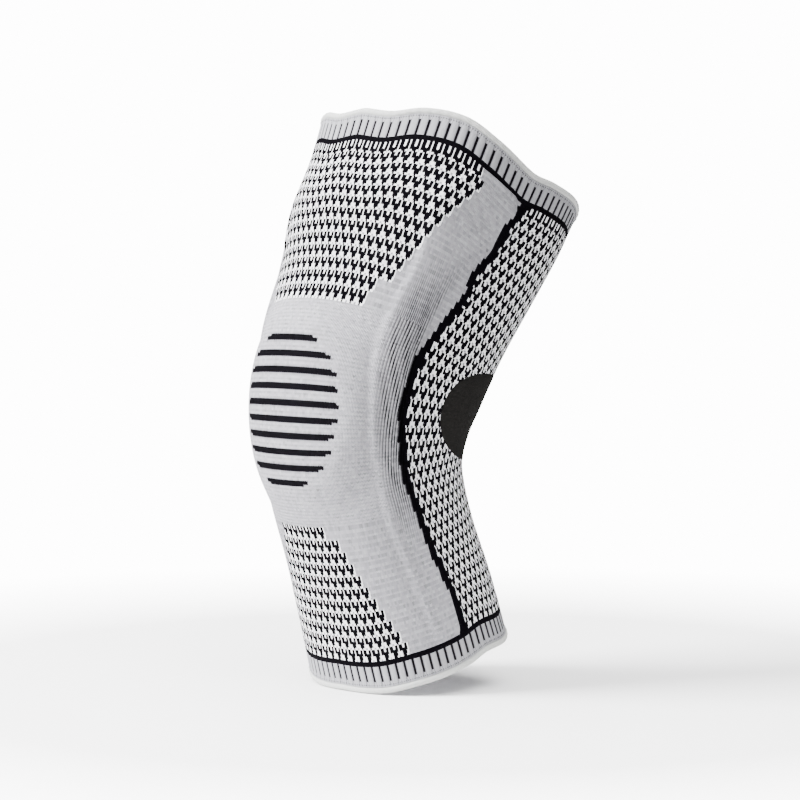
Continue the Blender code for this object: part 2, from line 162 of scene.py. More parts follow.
# Place across the ring from hole to edge, depth as a share of its thickness
ringSection = (
    (0.0, 0.30),
    (0.07, 0.06),
    (0.50, 0.0),
    (0.96, 0.01),
    (1.0, 0.13),
    (0.94, 0.25),
    (0.70, 0.70),
    (0.42, 1.0),
    (0.16, 0.86),
    (0.03, 0.58),
)


def ease(t):
    t = np.clip(t, 0.0, 1.0)
    return t * t * (3.0 - 2.0 * t)


# Smooth curve through one column of a table
def through(table, column, at):
    places = np.array([row[0] for row in table], float)
    values = np.array([row[column] for row in table], float)
    slopes = np.gradient(values)
    slopes[1:-1] = (values[2:] - values[:-2]) / (places[2:] - places[:-2])
    slopes[0] = (values[1] - values[0]) / (places[1] - places[0])
    slopes[-1] = (values[-1] - values[-2]) / (places[-1] - places[-2])
    low = np.clip(np.searchsorted(places, at, side="right") - 1, 0, len(places) - 2)
    span = places[low + 1] - places[low]
    t = (at - places[low]) / span
    return (
        (2 * t**3 - 3 * t**2 + 1) * values[low]
        + (t**3 - 2 * t**2 + t) * span * slopes[low]
        + (3 * t**2 - 2 * t**3) * values[low + 1]
        + (t**3 - t**2) * span * slopes[low + 1]
    )


shares = np.linspace(-0.1, 1.1, 241)
shareStep = shares[1] - shares[0]
degrees = np.arange(361.0)


def leanAt(share):
    low, high = brace["bend"]
    bent = ease((share - low) / (high - low))
    return -brace["calfLean"] + (brace["calfLean"] + brace["thighLean"]) * bent


def runUp(slopes):
    steps = (slopes[1:] + slopes[:-1]) / 2 * shareStep * length
    run = np.concatenate([[0.0], np.cumsum(steps)])
    return run - np.interp(brace["kneeCentre"], shares, run)


centreY = runUp(np.sin(leanAt(shares)))
centreZ = runUp(np.cos(leanAt(shares)))
frontDepth = through(sized, 2, shares)
frontY = centreY - np.cos(leanAt(shares)) * frontDepth
frontZ = centreZ + np.sin(leanAt(shares)) * frontDepth
frontRun = np.concatenate([[0.0], np.cumsum(np.hypot(np.diff(frontY), np.diff(frontZ)))])


def aboveRing(share):
    return np.interp(share, shares, frontRun) - np.interp(ring["centre"], shares, frontRun)


def shareAboveRing(distance):
    return np.interp(np.interp(ring["centre"], shares, frontRun) + distance, frontRun, shares)


def roundPoint(share, angle, lift=0.0):
    width, front, back = (through(sized, column, share) for column in (1, 2, 3))
    power = 2 / brace["squareness"]
    across = np.sign(np.sin(angle)) * np.abs(np.sin(angle)) ** power
    ahead = np.sign(np.cos(angle)) * np.abs(np.cos(angle)) ** power
    roundWay = np.where(angle > math.pi, angle - 2 * math.pi, angle) * (width + front) / 2
    reach = np.hypot(roundWay / (ring["size"][0] / 2), aboveRing(share) / (ring["size"][1] / 2))
    rise = ring["domeRise"] * (1 - ease((reach - ring["domeLevel"]) / ring["domeSlope"])) + lift
    forward = np.where(np.cos(angle) > 0, front, back) * ahead + ahead * rise
    y = np.interp(share, shares, centreY) - np.cos(leanAt(share)) * forward
    z = np.interp(share, shares, centreZ) + np.sin(leanAt(share)) * forward
    return np.stack(np.broadcast_arrays(width * across + across * rise, y, z), -1)


def measureGirths():
    found = []
    angles = []
    for share in shares:
        loop = roundPoint(share, np.radians(degrees))
        arcs = np.concatenate([[0.0], np.cumsum(np.linalg.norm(np.diff(loop, axis=0), axis=1))])
        found.append(arcs[-1])
        angles.append(np.interp(degrees / 360 * arcs[-1], arcs, np.radians(degrees)))
    return np.array(found), np.array(angles)


girths, turnAngles = measureGirths()


def girthAt(share):
    return np.interp(share, shares, girths)


def angleOf(share, turn):
    row = (share - shares[0]) / shareStep
    lowRow = np.clip(np.floor(row).astype(int), 0, len(shares) - 2)
    column = np.mod(turn, 360.0)
    lowColumn = np.clip(np.floor(column).astype(int), 0, 359)
    up = row - lowRow
    on = column - lowColumn
    near = turnAngles[lowRow, lowColumn] * (1 - on) + turnAngles[lowRow, lowColumn + 1] * on
    far = turnAngles[lowRow + 1, lowColumn] * (1 - on) + turnAngles[lowRow + 1, lowColumn + 1] * on
    return near * (1 - up) + far * up


def turnFor(share, distance):
    return distance / girthAt(share) * 360.0


def folded(turn):
    turn = np.mod(turn, 360.0)
    return np.minimum(turn, 360.0 - turn)


def waved(share, turn):
    side = folded(turn)
    thigh = through(endWave, 1, side) * ease((share - (1 - cuffShare)) / brace["waveReach"] + 1)
    calf = through(endWave, 2, side) * ease((cuffShare - share) / brace["waveReach"] + 1)
    return share + (thigh + calf) * cuffShare


stayTop = 1 - cuffShare - stay["margin"] / length
stayBottom = cuffShare + stay["margin"] / length
loopEnd = stayTop - stay["loopLength"] / length
capEnd = stayBottom + stay["capLength"] / length
eyeTop = stayTop - stay["loopHoleDrop"] / length
eyeMiddle = eyeTop - stay["loopHole"][1] / 2 / length


def loopHalfWidth(share):
    places, widths = zip(*loopOutline)
    return np.interp((stayTop - share) * length / stay["loopLength"], places, widths) * stay["loopWidth"]


def ridgeHalfWidth(share):
    blend = ease((loopEnd - share) / (stay["slope"] / length))
    below = np.where(share < capEnd, stay["capWidth"], stay["springWidth"]) / 2
    return loopHalfWidth(share) * (1 - blend) + below * blend + stay["ease"]


# Distance from the middle of the nearer stay, positive towards the back
def offStay(share, turn):
    return (folded(turn) - through(stayLine, 1, share)) / 360.0 * girthAt(share)


# Rise of the knit over a stay, sunk a little where the knit spans the loop's eye
def ridge(share, turn):
    off = offStay(share, turn)
    over = 1 - ease((np.abs(off) - ridgeHalfWidth(share)) / stay["slope"])
    fade = stay["margin"] / length
    ends = ease((share - stayBottom) / fade + 1) * ease((stayTop - share) / fade + 1)
    holeWide, holeTall = stay["loopHole"]
    eyeReach = np.hypot(off / (holeWide / 2), (share - eyeMiddle) * length / (holeTall / 2))
    eye = stay["eyeSink"] * (1 - ease((eyeReach - 0.55) / 0.5))
    return stay["rise"] * over * ends - eye


# Points of the outer face, or as deep below it as depth says
def skin(share, turn, depth=0.0):
    share, turn, depth = np.broadcast_arrays(
        np.asarray(share, float), np.asarray(turn, float), np.asarray(depth, float)
    )

    def outer(shareOff, turnOff):
        at = share + shareOff
        roundAt = turn + turnOff
        return roundPoint(at, angleOf(at, roundAt), ridge(at, roundAt))

    up = outer(0.004, 0.0) - outer(-0.004, 0.0)
    roundWay = outer(0.0, 1.0) - outer(0.0, -1.0)
    normal = np.cross(roundWay, up)
    normal /= np.linalg.norm(normal, axis=-1, keepdims=True)
    return outer(0.0, 0.0) - depth[..., None] * normal


# Colours and nodes
def hexLinear(code):
    parts = np.array([int(code[place : place + 2], 16) for place in (1, 3, 5)]) / 255
    return np.where(parts <= 0.04045, parts / 12.92, ((parts + 0.055) / 1.055) ** 2.4)


def rgba(code):
    return (*hexLinear(code), 1.0)


def addNode(tree, kind, inputs=None, **settings):
    node = tree.nodes.new(kind)
    for name, value in settings.items():
        setattr(node, name, value)
    for key, value in (inputs or {}).items():
        if isinstance(value, bpy.types.NodeSocket):
            tree.links.new(value, node.inputs[key])
        else:
            node.inputs[key].default_value = value
    return node


def newMaterial(name, **values):
    made = bpy.data.materials.new(name)
    made.use_nodes = True
    shader = made.node_tree.nodes["Principled BSDF"]
    for key, value in values.items():
        shader.inputs[key.replace("_", " ")].default_value = value
    return made, made.node_tree, shader


# Noise in the object's own space that spreads the roughness. It is given back for a bump. Scale is its cells to
# the metre. Real scuffs and grain are finer, and these are as coarse as they need to be to show.
def addGrain(tree, shader, scale, detail, roughness):
    spots = addNode(tree, "ShaderNodeTexCoord")
    noise = {"Vector": spots.outputs["Object"], "Scale": scale, "Detail": detail}
    grain = addNode(tree, "ShaderNodeTexNoise", noise)
    low, high = roughness
    rough = addNode(tree, "ShaderNodeMapRange", {"Value": grain.outputs["Fac"], "To Min": low, "To Max": high})
    tree.links.new(rough.outputs["Result"], shader.inputs["Roughness"])
    return grain.outputs["Fac"]


def addBump(tree, shader, height, distance, strength):
    bump = addNode(tree, "ShaderNodeBump", {"Height": height, "Distance": distance, "Strength": strength})
    tree.links.new(bump.outputs["Normal"], shader.inputs["Normal"])


# Polyamide and elastane yarn, knitted: matt, because light is lost between the stitches. The colour of each
# stitch comes from the mesh and fine hairs mottle it. Sheen stands for fuzz where the knit is soft, and bump
# rounds each leg of a stitch. UV counts wales across and courses up.
def knitMaterial(name, roughness, sheen, relief, mottle):
    made, tree, shader = newMaterial(name, Roughness=roughness, Sheen_Weight=sheen, Sheen_Roughness=0.6)
    shader.inputs["Specular IOR Level"].default_value = 0.01
    yarn = addNode(tree, "ShaderNodeAttribute", attribute_name="yarn")
    uv = addNode(tree, "ShaderNodeUVMap", uv_map="stitches")
    hairs = addNode(tree, "ShaderNodeTexNoise", {"Vector": uv.outputs["UV"], "Scale": 2.6, "Detail": 4.0})
    tones = {"Value": hairs.outputs["Fac"], "To Min": 1 - mottle, "To Max": 1 + mottle}
    tone = addNode(tree, "ShaderNodeMapRange", tones)
    toned = {0: yarn.outputs["Color"], "Scale": tone.outputs["Result"]}
    coloured = addNode(tree, "ShaderNodeVectorMath", toned, operation="SCALE")
    tree.links.new(coloured.outputs["Vector"], shader.inputs["Base Color"])
    axes = addNode(tree, "ShaderNodeSeparateXYZ", {"Vector": uv.outputs["UV"]})
    turned = addNode(tree, "ShaderNodeMath", {0: axes.outputs["X"], 1: 2 * math.pi}, operation="MULTIPLY")
    waveX = addNode(tree, "ShaderNodeMath", {0: turned.outputs[0]}, operation="SINE")
    legs = addNode(tree, "ShaderNodeMath", {0: waveX.outputs[0]}, operation="ABSOLUTE")
    lifted = addNode(tree, "ShaderNodeMath", {0: axes.outputs["Y"], 1: 2 * math.pi}, operation="MULTIPLY")
    waveY = addNode(tree, "ShaderNodeMath", {0: lifted.outputs[0]}, operation="COSINE")
    courses = addNode(tree, "ShaderNodeMath", {0: waveY.outputs[0], 1: -0.22}, operation="MULTIPLY")
    height = addNode(tree, "ShaderNodeMath", {0: legs.outputs[0], 1: courses.outputs[0]}, operation="ADD")
    addBump(tree, shader, height.outputs[0], relief, 0.8)
    return made


# Mesh helpers. Every piece rides on the part's only body and takes the place of the solids it is given.
def addMesh(name, points, faces, finish, replaced):
    mesh = bpy.data.meshes.new(name)
    corners = faces if isinstance(faces, list) else faces.tolist()
    mesh.from_pydata(np.asarray(points).reshape(-1, 3).tolist(), [], corners)
    mesh.shade_smooth()
    mesh.materials.append(finish)
    piece = bpy.data.objects.new(name, mesh)
    scene.collection.objects.link(piece)
    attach(piece, "root")
    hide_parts(*replaced)
    return piece


def gridFaces(rows, columns, closed=False):
    across = columns if closed else columns - 1
    row, column = np.meshgrid(np.arange(rows - 1), np.arange(across), indexing="ij")
    low = row * columns
    after = (column + 1) % columns
    return np.stack([low + column, low + after, low + columns + after, low + columns + column], -1)


blackRise = 0.0002  # black yarn lies over the white and stands a little proud


# A knitted piece is a set of grids with two faces to each stitch, one for each of its legs. Zigzag is how far
# the legs slant, as a share of a course, and heights are the courses' heights from the top down, repeated.
def knitGrid(low, high, courses, first, last, wales, paint, depth=0.0, zigzag=0.28, streak=None, heights=(1.0,)):
    turn = np.linspace(first, last, 2 * wales + 1)
    tall = np.array(heights)[(courses - 1 - np.arange(courses)) % len(heights)]
    share = low + (high - low) * np.concatenate([[0.0], np.cumsum(tall)]) / tall.sum()
    step = (high - low) / courses
    slant = np.where(np.arange(2 * wales + 1) % 2 == 0, zigzag, -zigzag) * step
    inside = ((np.arange(courses + 1) > 0) & (np.arange(courses + 1) < courses)).astype(float)
    placed = share[:, None] + slant[None, :] * inside[:, None]
    course, half = np.meshgrid(np.arange(courses), np.arange(2 * wales), indexing="ij")
    midShare = ((share[1:] + share[:-1]) / 2)[course]
    midTurn = first + (half // 2 + 0.5) * (last - first) / wales
    colours, raised = paint(course, half, midShare, midTurn)
    if streak:
        colours[:, 1::2] *= streak(midShare, midTurn)[:, 1::2, None]
    proud = np.pad(raised, 1, mode="edge").astype(float)
    proud = (proud[1:, 1:] + proud[:-1, 1:] + proud[1:, :-1] + proud[:-1, :-1]) / 4
    turns = np.broadcast_to(turn[None, :], placed.shape)
    points = skin(waved(placed, turns), turns, depth - blackRise * proud)
    uv = np.stack(np.meshgrid(np.arange(2 * wales + 1) / 2, np.arange(courses + 1.0)), -1)
    return points, gridFaces(courses + 1, 2 * wales + 1), colours, uv, (midShare, midTurn)


# Each grid is its points, faces, colours, UV and, where keep chooses faces, the places of their middles
def knitPiece(name, grids, finish, replaced, keep=None):
    points = []
    faces = []
    colours = []
    uvs = []
    start = 0
    for grid, quads, shade, uv, middles in grids:
        kept = quads.reshape(-1, 4)
        tone = shade.reshape(-1, 3)
        if keep is not None:
            mask = keep(*middles).reshape(-1)
            kept = kept[mask]
            tone = tone[mask]
        points.append(grid.reshape(-1, 3))
        uvs.append(uv.reshape(-1, 2)[kept].reshape(-1, 2))
        faces.append(kept + start)
        colours.append(np.repeat(tone, 4, axis=0))
        start += grid.reshape(-1, 3).shape[0]
    piece = addMesh(name, np.concatenate(points), np.concatenate(faces), finish, replaced)
    mesh = piece.data
    corner = np.concatenate(colours)
    layer = mesh.color_attributes.new("yarn", "FLOAT_COLOR", "CORNER")
    layer.data.foreach_set("color", np.concatenate([corner, np.ones((len(corner), 1))], 1).ravel())
    uvLayer = mesh.uv_layers.new(name="stitches")
    uvLayer.data.foreach_set("uv", np.concatenate(uvs).ravel())
    loose = bmesh.new()
    loose.from_mesh(mesh)
    bmesh.ops.delete(loose, geom=[vert for vert in loose.verts if not vert.link_faces], context="VERTS")
    loose.to_mesh(mesh)
    loose.free()
    return piece


# Sleeve: houndstooth in front above and below the knee and all round the back, a black band down each side,
# plain knit between them, and short stripes over the kneecap
sleeve = {
    "white": "#f1f0f4",
    "speck": "#88878f",
    "black": "#050407",
    "stripe": "#0a090c",
    "plain": "#929196",
    "course": 0.0015625,  # coarser than in real knit, so that single stitches show
    "courseHeights": (1.25, 1.0, 1.15, 0.6),  # of one figure, from its top course down
    "figureZigzag": 0.12,
    "kneeCourses": 108,
    "frontTurn": 65.0,  # where the front grids meet the back one
    "thighMotifs": 76,
    "thighRows": 13,
    "calfMotifs": 66,
    "calfRows": 11,
    "backMotifs": 67,
    "kneeWales": 84,
    "bandWidth": 0.0046,
    "bandCourses": 3,  # in one step of the band's edge
    "bandFlare": 0.4,  # how much wider it gets towards the thigh cuff
    "flareFrom": 0.80,
    "flareReach": 0.12,
    "thighFoot": 0.622,  # lowest share of the figures on the thigh
    "calfHead": 0.328,  # highest share of those on the calf
    "stripePitch": 0.0190,
    "stripeCourses": 3,  # of the pitch's courses
    "pitchCourses": 7,
    "stripeTop": 0.566,
    "stripeHalfLengths": (0.017, 0.026, 0.031, 0.033, 0.034, 0.033, 0.031, 0.029, 0.024, 0.013),
    "stripeStep": 0.0024,
    "mottle": 0.10,
    "plainContrast": 0.10,  # between one course and the next
    "figureContrast": 0.03,
    # painted shade along the flanks of the ridge over each stay: how much darker, and how far it reaches
    "ridgeFlankShade": 0.10,
    "ridgeFlankShadeReach": 0.0045,
    "inside": "#b9b8bf",
    "insideMottle": 0.07,
    "insideCourses": 170,
    "insideWales": 150,
    "insideZigzag": 0.2,
}
# Dark strands: reach across from the middle of the stay in metres, reach along as shares of the length
strand = {
    "darkening": 0.99,
    "from": -0.009,
    "fromFade": 0.008,
    "to": 0.014,
    "toFade": 0.003,
    "low": 0.24,
    "lowFade": 0.14,
    "high": 0.78,
    "highFade": 0.16,
    "patches": 0.14,
    "patchWaves": (70, 900),
}
# The yarns by number. The first three are the marks of the charts.
yarns = ("white", "speck", "black", "stripe", "plain")
blackYarn, stripeYarn, plainYarn = 2, 3, 4
# One houndstooth figure from its top course down, each mark one leg of a stitch: X is black yarn, o grey,
# and a point is white. A crown hangs from the black line above, and a foot's stem runs on to the line below.
motif = ("XX..XXX.", "XXXXXXX.", "..XXXX..", "o..XX..o")
crown = ("XX..XXX.", "XX..XXX.", "XXXXXXX.", "...XXX.o")
foot = ("XX..XXX.", "XXXXXXX.", "..XXXX..", "..XXX..o")
frontMotif = ("XXXX..XXX.", "XXXXXXXXX.", "...XXXXX..", "o...XX...o")
frontCrown = ("XXXX..XXX.", "XXXX..XXX.", "XXXXXXXXX.", "...XXXX..o")
frontFoot = ("XXXX..XXX.", "XXXXXXXXX.", "...XXXXX..", "...XXXX..o")
figureCourses = len(motif)
# Share and turn along the borders of the figures and along the middle of the black band
thighBorder = (
    (0.60, 27.0),
    (0.623, 29.3),
    (0.6375, 34.7),
    (0.657, 37.5),
    (0.695, 43.7),
    (0.729, 47.8),
    (0.777, 53.3),
    (0.823, 58.5),
    (0.864, 61.6),
    (0.90, 63.4),
    (0.95, 64.2),
)
calfBorder = (
    (0.05, 53.5),
    (0.075, 51.1),
    (0.10, 49.5),
    (0.141, 44.9),
    (0.179, 40.7),
    (0.216, 34.6),
    (0.254, 28.2),
    (0.289, 23.6),
    (0.335, 16.5),
)
sideBand = (
    (0.05, 85.4),
    (0.109, 85.1),
    (0.154, 84.7),
    (0.216, 81.1),
    (0.266, 78.5),
    (0.318, 77.0),
    (0.373, 73.8),
    (0.407, 71.9),
    (0.4625, 69.9),
    (0.505, 68.6),
    (0.552, 69.7),
    (0.598, 71.5),
    (0.655, 76.6),
    (0.709, 81.6),
    (0.746, 80.5),
    (0.802, 84.2),
    (0.832, 85.4),
    (0.859, 83.9),
    (0.891, 86.2),
    (0.95, 90.5),
)
random = np.random.default_rng(7)


def lookup(table, at):
    places, values = zip(*table)
    return np.interp(at, places, values)


# Yarn of each leg of a stitch. The charts are for the top row of figures, those between and the lowest.
def chartFigure(charts, fromTop, rows, half):
    row = fromTop // figureCourses
    width = len(charts[0][0])
    column = (half + width // 2 * (row % 2)) % width  # each row of figures is half a figure off the last
    codes = np.array([[[".oX".index(mark) for mark in line] for line in chart] for chart in charts])
    which = np.where(row == 0, 0, np.where(row == rows - 1, 2, 1))
    return codes[which, fromTop % figureCourses, column]


# Yarn colours, mottled at random and a little lighter and darker from course to course, times shade, the painted
# shade of the stay ridges' flanks
def stitchColours(kinds, course, shade):
    colours = np.array([hexLinear(sleeve[yarn]) for yarn in yarns])[kinds]
    mottle = np.repeat(random.standard_normal((kinds.shape[0], kinds.shape[1] // 2)), 2, axis=1)
    contrast = np.where(kinds == plainYarn, sleeve["plainContrast"], sleeve["figureContrast"])
    uneven = 1 + sleeve["mottle"] * mottle + contrast * np.where(course % 2 == 0, 1, -1)
    return np.clip(colours * (uneven * shade)[..., None], 0, 0.96)


# Painted shade: stitches on the flanks of the ridge over a stay are drawn a little darker
def ridgeFlankShade(share, turn):
    edge = ridgeHalfWidth(share) + stay["slope"] * 0.4
    near = np.exp(-(((np.abs(offStay(share, turn)) - edge) / sleeve["ridgeFlankShadeReach"]) ** 2))
    return 1 - sleeve["ridgeFlankShade"] * near


# Between the stay and the black band the wales are pulled apart round the bend, and dark strands open
# in one leg of each stitch. They fade towards the thigh and the calf.
def strands(share, turn):
    off = offStay(share, turn)
    across = ease((off - strand["from"]) / strand["fromFade"]) * ease((strand["to"] - off) / strand["toFade"])
    rising = ease((share - strand["low"]) / strand["lowFade"])
    along = rising * ease((strand["high"] - share) / strand["highFade"])
    alongWave, acrossWave = strand["patchWaves"]
    patchy = 1 - strand["patches"] + strand["patches"] * np.sin(share * alongWave + off * acrossWave)
    return 1 - strand["darkening"] * across * along * patchy


# Figures of the front, whole ones up to the border. A figure belongs to the side on which its middle lies.
def paintFront(border, rows, charts):
    def paint(course, half, share, turn):
        fromTop = course.max() - course
        figure = chartFigure(charts, fromTop, rows, half)
        row = fromTop // figureCourses
        width = len(frontMotif[0])
        shift = width // 2 * (row % 2)
        middle = (half + shift) // width * width - shift + width / 2 - 1
        figureTurn = turn[0, 0] + middle / 2 * (turn[0, 2] - turn[0, 0])
        figureShare = share[course.max() - (row * figureCourses + 1), 0]
        kinds = np.where(folded(figureTurn) < lookup(border, figureShare), figure, plainYarn)
        return stitchColours(kinds, course, ridgeFlankShade(share, turn)), kinds == blackYarn

    return paint


# Stripes over the kneecap. The courses of a stripe nearer to the kneecap's middle run a step further.
def paintKnee(course, half, share, turn):
    kinds = np.full(course.shape, plainYarn)
    across = np.where(turn > 180, turn - 360, turn) / 360 * girthAt(share)
    pitch = sleeve["stripePitch"]
    thick = pitch * sleeve["stripeCourses"] / sleeve["pitchCourses"]
    halfLengths = sleeve["stripeHalfLengths"]
    for number, halfLength in enumerate(halfLengths):
        middle = sleeve["stripeTop"] - number * pitch
        level = (share - middle) / thick
        longer = level < 1 / 6 if number < len(halfLengths) / 2 else level > -1 / 6
        reach = halfLength + longer * sleeve["stripeStep"]
        kinds = np.where((np.abs(level) < 0.5) & (np.abs(across) < reach), stripeYarn, kinds)
    return stitchColours(kinds, course, ridgeFlankShade(share, turn)), kinds == stripeYarn


# Plain knit up to the black band, whose edge runs in steps, and figures behind it
def paintBack(course, half, share, turn):
    fromTop = course.max() - course
    rows = (course.max() + 1) // figureCourses
    figure = chartFigure((crown, motif, foot), fromTop, rows, half)
    step = sleeve["bandCourses"]
    stepped = np.round(share * length / sleeve["course"] / step) * step * sleeve["course"] / length
    off = (folded(turn) - lookup(sideBand, stepped)) / 360 * girthAt(share)
    flare = sleeve["bandFlare"] * ease((share - sleeve["flareFrom"]) / sleeve["flareReach"])
    wide = sleeve["bandWidth"] / 2 * (1 + flare)
    kinds = np.where(np.abs(off) < wide, blackYarn, np.where(off > 0, figure, plainYarn))
    return stitchColours(kinds, course, ridgeFlankShade(share, turn)), kinds == blackYarn


# Strands end at the black band
def backStrands(share, turn):
    return np.where(folded(turn) < lookup(sideBand, share), strands(share, turn), 1.0)


panel = {
    "centre": 0.505,
    "halfTurn": 87.5,
    "height": 0.090,
    "colour": "#171615",
    "mottle": 0.14,
    "wales": 120,
    "courses": 90,
    "overlap": 0.0015,  # of the sleeve over its edge
    "proud": 0.00045,
    "proudEdge": 0.02,
    "tuck": 0.0003,
    "tuckEdge": 0.004,
}


def insidePanel(share, turn, spread):
    half = panel["halfTurn"] + turnFor(panel["centre"], spread)
    tall = (panel["height"] / 2 + spread) / length
    return np.hypot((np.mod(turn, 360.0) - 180) / half, (share - panel["centre"]) / tall) < 1


knitFinish = knitMaterial("polyamide_elastane_knit", 0.9, 0.0, 0.00035, 0.12)


# Wales of a part of the girth, from the number of figures in the whole girth
def walesFor(degreesWide, figures, chart):
    return round(degreesWide / 360 * figures * len(chart[0]) / 2)


def makeSleeve():
    front = sleeve["frontTurn"]
    back = 360 - front
    thighFoot = sleeve["thighFoot"]
    calfHead = sleeve["calfHead"]
    top = 1 - cuffShare
    thighWales = walesFor(2 * front, sleeve["thighMotifs"], frontMotif)
    calfWales = walesFor(2 * front, sleeve["calfMotifs"], frontMotif)
    backWales = walesFor(360 - 2 * front, sleeve["backMotifs"], motif)
    kneeWales = sleeve["kneeWales"]
    kneeCourses = sleeve["kneeCourses"]
    thighCourses = sleeve["thighRows"] * figureCourses
    calfCourses = sleeve["calfRows"] * figureCourses
    backCourses = round((1 - 2 * cuffShare) * length / sleeve["course"] / figureCourses) * figureCourses
    paintThigh = paintFront(thighBorder, sleeve["thighRows"], (frontCrown, frontMotif, frontMotif))
    paintCalf = paintFront(calfBorder, sleeve["calfRows"], (frontMotif, frontMotif, frontFoot))
    figured = {"zigzag": sleeve["figureZigzag"], "heights": sleeve["courseHeights"]}
    grids = [
        knitGrid(thighFoot, top, thighCourses, -front, front, thighWales, paintThigh, streak=strands, **figured),
        knitGrid(calfHead, thighFoot, kneeCourses, -front, front, kneeWales, paintKnee, streak=strands),
        knitGrid(cuffShare, calfHead, calfCourses, -front, front, calfWales, paintCalf, streak=strands, **figured),
        knitGrid(cuffShare, top, backCourses, front, back, backWales, paintBack, streak=backStrands, **figured),
    ]

    def outsidePanel(share, turn):
        return ~insidePanel(share, turn, -panel["overlap"])

    return knitPiece("sleeve_knit", grids, knitFinish, ["sleeve"], outsidePanel)


sleevePiece = makeSleeve()
print("sleeve", sum(len(polygon.vertices) - 2 for polygon in sleevePiece.data.polygons), "triangles")


def unevenTone(code, mottle, shape, brightest=1.0):
    uneven = 1 + mottle * random.standard_normal(shape)
    return np.clip(hexLinear(code)[None, None, :] * uneven[..., None], 0, brightest)


# Inner face of the sleeve, where the floats of both yarns show as a grey melange
def paintInside(course, half, share, turn):
    return unevenTone(sleeve["inside"], sleeve["insideMottle"], course.shape), np.zeros(course.shape, bool)


def makeInside():
    courses = sleeve["insideCourses"]
    wales = sleeve["insideWales"]
    zigzag = sleeve["insideZigzag"]
    grid = knitGrid(cuffShare, 1 - cuffShare, courses, 0.0, 360.0, wales, paintInside, brace["wall"], zigzag)
    piece = knitPiece("sleeve_inner_face", [grid], knitFinish, ["sleeve"])
    for polygon in piece.data.polygons:
        polygon.flip()


makeInside()


# Dark panel behind the knee: finer stitches, its edge turned down into the sleeve
def makePanel():
    courses = panel["courses"]
    legs = 2 * panel["wales"]
    along, up = np.meshgrid(np.linspace(-1, 1, legs + 1), np.linspace(-1, 1, courses + 1))
    # A square grid pressed into an oval
    across = along * np.sqrt(1 - up**2 / 2)
    rise = up * np.sqrt(1 - along**2 / 2)
    turn = 180 + panel["halfTurn"] * across
    share = panel["centre"] + panel["height"] / 2 / length * rise
    inwards = 1 - np.hypot(across, rise)
    tucked = panel["tuck"] * (1 - ease(inwards / panel["tuckEdge"]))
    depth = -panel["proud"] * ease(inwards / panel["proudEdge"]) + tucked
    points = skin(waved(share, turn), turn, depth)
    colours = unevenTone(panel["colour"], panel["mottle"], (courses, panel["wales"]))
    uv = np.stack(np.meshgrid(np.arange(legs + 1) / 2, np.arange(courses + 1.0)), -1)
    grid = (points, gridFaces(courses + 1, legs + 1), np.repeat(colours, 2, axis=1), uv, None)
    finish = knitMaterial("fine_charcoal_knit", 0.92, 0.01, 0.0003, 0.16)
    knitPiece("popliteal_panel_knit", [grid], finish, ["popliteal_panel"])


makePanel()
print("panel")

# Ribbed cuffs: thin black lines between the ribs, painted shade on the rib flanks beside them, a row of linking
# stitches under the roll, and the black line
cuff = {
    "rib": "#99999d",
    # painted shade on the flanks of each rib's valley
    "shade": "#77767b",
    "line": "#070609",
    "dots": "#2c2b2f",
    "lineHeight": 0.0026,
    "dotsHeight": 0.0016,
    "dotsFrom": 0.0005,
    "plainTop": 0.0012,
    "ribDepth": 0.0006,
    "ribRound": 0.6,
    "seamEase": 0.0012,
    "hemEase": 0.002,
    "proud": 0.0001,
    "wall": 0.0022,
    "inside": "#c4c4ca",
    "mottle": 0.035,
    "perRib": 12,  # faces across one rib
    "rows": 20,
    "thighRibs": 84,
    "calfRibs": 72,
}


